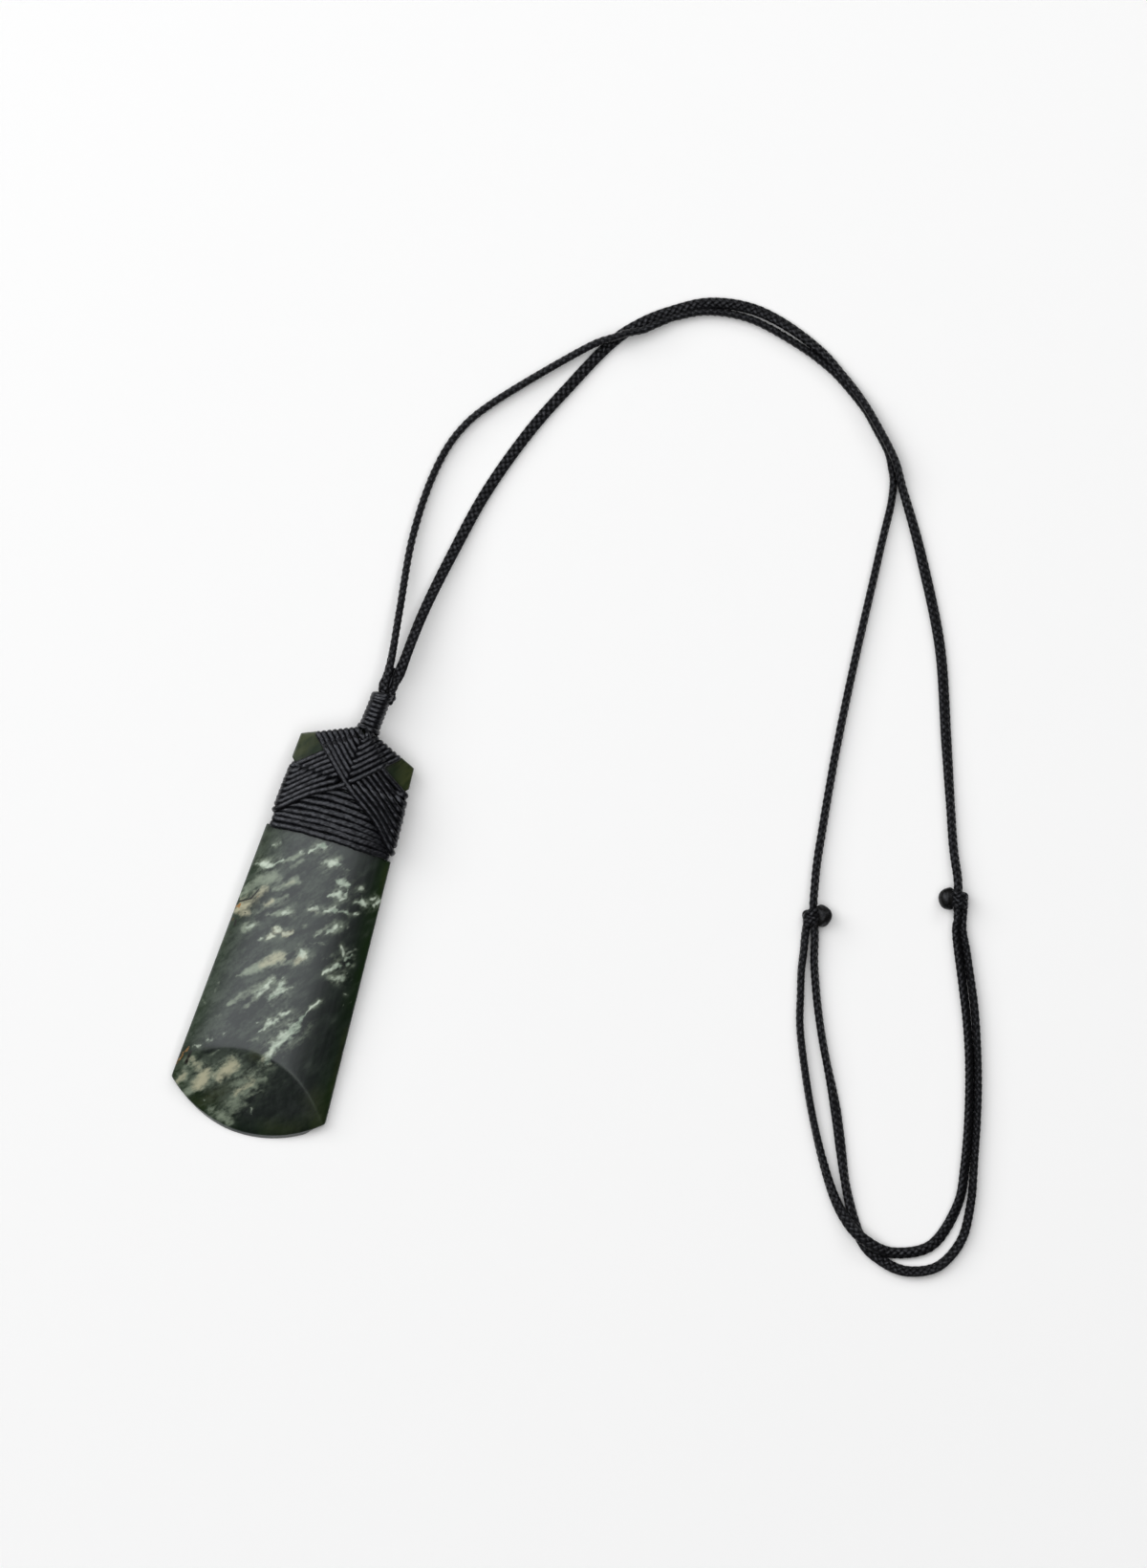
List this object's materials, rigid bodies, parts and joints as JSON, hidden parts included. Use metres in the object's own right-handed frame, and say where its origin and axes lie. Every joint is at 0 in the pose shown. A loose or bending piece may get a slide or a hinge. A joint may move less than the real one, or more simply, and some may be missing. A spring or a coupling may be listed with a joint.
{
  "type": "toki pendant",
  "caption": "Adze-shaped dark green stone pendant, bound with black thread to a whipped neck and hung on two braided cords with sliding knots.",
  "frame": {"origin": "on the surface that the pendant lies on, under the middle of the stone and its neck", "axes": "+Y along the blade from the cutting edge to the neck, +Z out of the domed face, +X to the viewer's right"},
  "size_m": [0.135, 0.1578, 0.0079],
  "materials": {
    "stone": "satin",
    "thread": "satin",
    "cord": "satin"
  },
  "bodies": {
    "root": {"toki_blade": "stone", "belt_wraps": "thread", "cross_wraps_left": "thread", "cross_wraps_right": "thread", "neck_whipping": "thread", "left_cord": "cord", "right_cord": "cord", "left_knot": "cord", "right_knot": "cord"}
  },
  "joints": []
}
